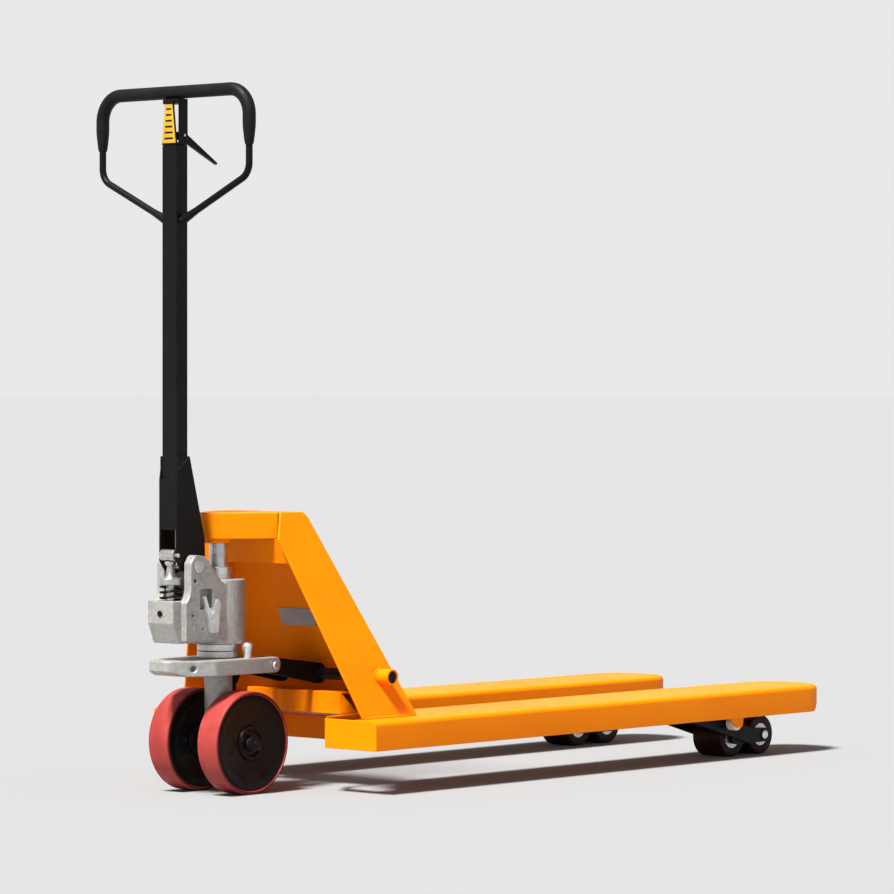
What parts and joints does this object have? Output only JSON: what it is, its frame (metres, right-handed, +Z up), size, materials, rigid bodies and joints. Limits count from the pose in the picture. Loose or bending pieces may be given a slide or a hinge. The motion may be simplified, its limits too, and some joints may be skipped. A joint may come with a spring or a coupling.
{
  "type": "pallet jack",
  "caption": "Hand pallet truck with two channel forks, a steering pump unit on twin wheels, a loop handle and tandem load rollers.",
  "frame": {"origin": "bottom centre of the bounding box, on the floor", "axes": "+X towards the fork tips, +Y to the left across the forks, +Z up"},
  "size_m": [1.573, 0.55, 1.2329],
  "materials": {
    "paint_orange": "satin yellow-orange powder coat",
    "paint_black": "satin black powder coat",
    "cast_metal": "sand-cast and partly machined, silver lacquer",
    "steel": "turned and ground",
    "zinc": "bright zinc plate",
    "tread_red": "matte cast polyurethane",
    "roller_maroon": "matte cast polyurethane",
    "black_plastic": "moulded",
    "grip_rubber": "moulded grip",
    "label_yellow": "plain strip, no text",
    "label_grey": "plain foil plate, no text",
    "nylon": "natural nylon"
  },
  "bodies": {
    "frame": {"fork_left": "paint_orange", "fork_right": "paint_orange", "shaft_boss_left": "paint_orange", "shaft_boss_right": "paint_orange", "back_frame": "paint_orange", "crown": "paint_orange", "upper_cross_angle": "paint_orange", "lower_cross_member": "paint_orange", "cross_tube": "paint_orange", "rating_plate": "label_grey", "ram": "steel", "exit_bracket_left": "paint_orange", "exit_bracket_right": "paint_orange"},
    "seat": {"bearing_seat": "cast_metal", "rocker_pivot_pin": "steel", "thrust_washer_lower": "steel", "steering_stop_pin": "steel"},
    "pump": {"pump_housing": "cast_metal", "ram_gland": "steel", "thrust_washer_upper": "steel", "steer_spindle": "cast_metal", "wheel_axle": "steel", "handle_pivot_pin": "steel", "pump_screw_plug": "black_plastic", "plunger_spring": "paint_black"},
    "plunger": {"plunger": "steel"},
    "release_rocker": {"release_rocker": "zinc"},
    "steer_wheel_left": {"steer_wheel_tread_left": "tread_red", "steer_wheel_hub_left": "black_plastic", "steer_wheel_bearing_left": "steel"},
    "steer_wheel_right": {"steer_wheel_tread_right": "tread_red", "steer_wheel_hub_right": "black_plastic", "steer_wheel_bearing_right": "steel"},
    "handle": {"handle_bracket": "paint_black", "handle_column": "paint_black", "control_head": "paint_black", "handle_loop": "paint_black", "loop_grip": "grip_rubber", "label_strap": "label_yellow", "pressure_roller_pin": "steel", "release_rod": "steel", "trigger_pin": "steel"},
    "pressure_roller": {"pressure_roller": "steel"},
    "trigger": {"release_trigger": "paint_black"},
    "rocker": {"rocker_shaft": "paint_black", "rocker_arm_left": "paint_black", "rocker_arm_right": "paint_black"},
    "push_rod_left": {"push_rod_left": "paint_black"},
    "push_rod_right": {"push_rod_right": "paint_black"},
    "yoke_left": {"yoke_left": "paint_black"},
    "yoke_right": {"yoke_right": "paint_black"},
    "bogie_left": {"bogie_left": "paint_black"},
    "bogie_right": {"bogie_right": "paint_black"},
    "load_roller_left_rear": {"load_roller_left_rear": "roller_maroon"},
    "load_roller_left_front": {"load_roller_left_front": "roller_maroon"},
    "load_roller_right_rear": {"load_roller_right_rear": "roller_maroon"},
    "load_roller_right_front": {"load_roller_right_front": "roller_maroon"},
    "exit_roller_left": {"exit_roller_left": "nylon"},
    "exit_roller_right": {"exit_roller_right": "nylon"}
  },
  "joints": [
    {"name": "lift", "type": "slide", "parent": "frame", "child": "seat", "axis": [0, 0, -1], "range_m": [-0.04, 0.065]},
    {"name": "steer", "type": "hinge", "parent": "seat", "child": "pump", "pos_m": [-0.6365, 0, 0.2481], "axis": [0, 0, 1], "range_deg": [-80, 80]},
    {"name": "handle_swing", "type": "hinge", "parent": "pump", "child": "handle", "pos_m": [-0.728, 0, 0.399], "axis": [0, -1, 0], "range_deg": [0, 72], "stiffness_Nm_per_rad": 20, "springref_deg": -11.46},
    {"name": "plunger_stroke", "type": "slide", "parent": "pump", "child": "plunger", "axis": [0, 0, -1], "range_m": [0, 0.0425], "deforming": ["plunger_spring"]},
    {"name": "pressure_roller_spin", "type": "hinge", "parent": "handle", "child": "pressure_roller", "pos_m": [-0.757, 0, 0.4185], "axis": [0, 1, 0], "continuous": true},
    {"name": "trigger_pull", "type": "hinge", "parent": "handle", "child": "trigger", "pos_m": [-0.7365, 0, 1.147], "axis": [0, -1, 0], "range_deg": [0, 20], "stiffness_Nm_per_rad": 0.6, "springref_deg": -22.92},
    {"name": "release_rocker_tilt", "type": "hinge", "parent": "pump", "child": "release_rocker", "pos_m": [-0.6965, -0.048, 0.313], "axis": [0, 1, 0], "range_deg": [0, 14]},
    {"name": "steer_wheel_left_spin", "type": "hinge", "parent": "pump", "child": "steer_wheel_left", "pos_m": [-0.6365, 0.0605, 0.09], "axis": [0, 1, 0], "continuous": true},
    {"name": "steer_wheel_right_spin", "type": "hinge", "parent": "pump", "child": "steer_wheel_right", "pos_m": [-0.6365, -0.0605, 0.09], "axis": [0, 1, 0], "continuous": true},
    {"name": "rocker_swing", "type": "hinge", "parent": "frame", "child": "rocker", "pos_m": [-0.4315, 0, 0.2005], "axis": [0, -1, 0], "range_deg": [-17.5, 28]},
    {"name": "push_rod_left_pin", "type": "hinge", "parent": "rocker", "child": "push_rod_left", "pos_m": [-0.43322, 0.168, 0.18088], "axis": [0, 1, 0], "range_deg": [-17.5, 28]},
    {"name": "push_rod_right_pin", "type": "hinge", "parent": "rocker", "child": "push_rod_right", "pos_m": [-0.43322, -0.168, 0.18088], "axis": [0, 1, 0], "range_deg": [-17.5, 28]},
    {"name": "yoke_left_swing", "type": "hinge", "parent": "frame", "child": "yoke_left", "pos_m": [0.39566, 0.1925, 0.086], "axis": [0, 1, 0], "range_deg": [-13.5, 21.5]},
    {"name": "yoke_right_swing", "type": "hinge", "parent": "frame", "child": "yoke_right", "pos_m": [0.39566, -0.1925, 0.086], "axis": [0, 1, 0], "range_deg": [-13.5, 21.5]},
    {"name": "bogie_left_level", "type": "hinge", "parent": "yoke_left", "child": "bogie_left", "pos_m": [0.5795, 0.1925, 0.038], "axis": [0, -1, 0], "range_deg": [-13.5, 21.5]},
    {"name": "bogie_right_level", "type": "hinge", "parent": "yoke_right", "child": "bogie_right", "pos_m": [0.5795, -0.1925, 0.038], "axis": [0, -1, 0], "range_deg": [-13.5, 21.5]},
    {"name": "load_roller_left_rear_spin", "type": "hinge", "parent": "bogie_left", "child": "load_roller_left_rear", "pos_m": [0.535, 0.1925, 0.038], "axis": [0, 1, 0], "continuous": true},
    {"name": "load_roller_left_front_spin", "type": "hinge", "parent": "bogie_left", "child": "load_roller_left_front", "pos_m": [0.624, 0.1925, 0.038], "axis": [0, 1, 0], "continuous": true},
    {"name": "load_roller_right_rear_spin", "type": "hinge", "parent": "bogie_right", "child": "load_roller_right_rear", "pos_m": [0.535, -0.1925, 0.038], "axis": [0, 1, 0], "continuous": true},
    {"name": "load_roller_right_front_spin", "type": "hinge", "parent": "bogie_right", "child": "load_roller_right_front", "pos_m": [0.624, -0.1925, 0.038], "axis": [0, 1, 0], "continuous": true},
    {"name": "exit_roller_left_spin", "type": "hinge", "parent": "frame", "child": "exit_roller_left", "pos_m": [0.5015, 0.2557, 0.0685], "axis": [0, 1, 0], "continuous": true},
    {"name": "exit_roller_right_spin", "type": "hinge", "parent": "frame", "child": "exit_roller_right", "pos_m": [0.5015, -0.2557, 0.0685], "axis": [0, 1, 0], "continuous": true}
  ],
  "couplings": [
    {"joint": "plunger_stroke", "follows": "handle_swing", "m_per_rad": 0.0336},
    {"joint": "release_rocker_tilt", "follows": "trigger_pull", "ratio": 0.6},
    {"joint": "rocker_swing", "follows": "lift", "rad_per_m": 7.25},
    {"joint": "push_rod_left_pin", "follows": "lift", "rad_per_m": 7.25},
    {"joint": "push_rod_right_pin", "follows": "lift", "rad_per_m": 7.25},
    {"joint": "yoke_left_swing", "follows": "lift", "rad_per_m": 5.6},
    {"joint": "yoke_right_swing", "follows": "lift", "rad_per_m": 5.6},
    {"joint": "bogie_left_level", "follows": "lift", "rad_per_m": 5.6},
    {"joint": "bogie_right_level", "follows": "lift", "rad_per_m": 5.6}
  ]
}
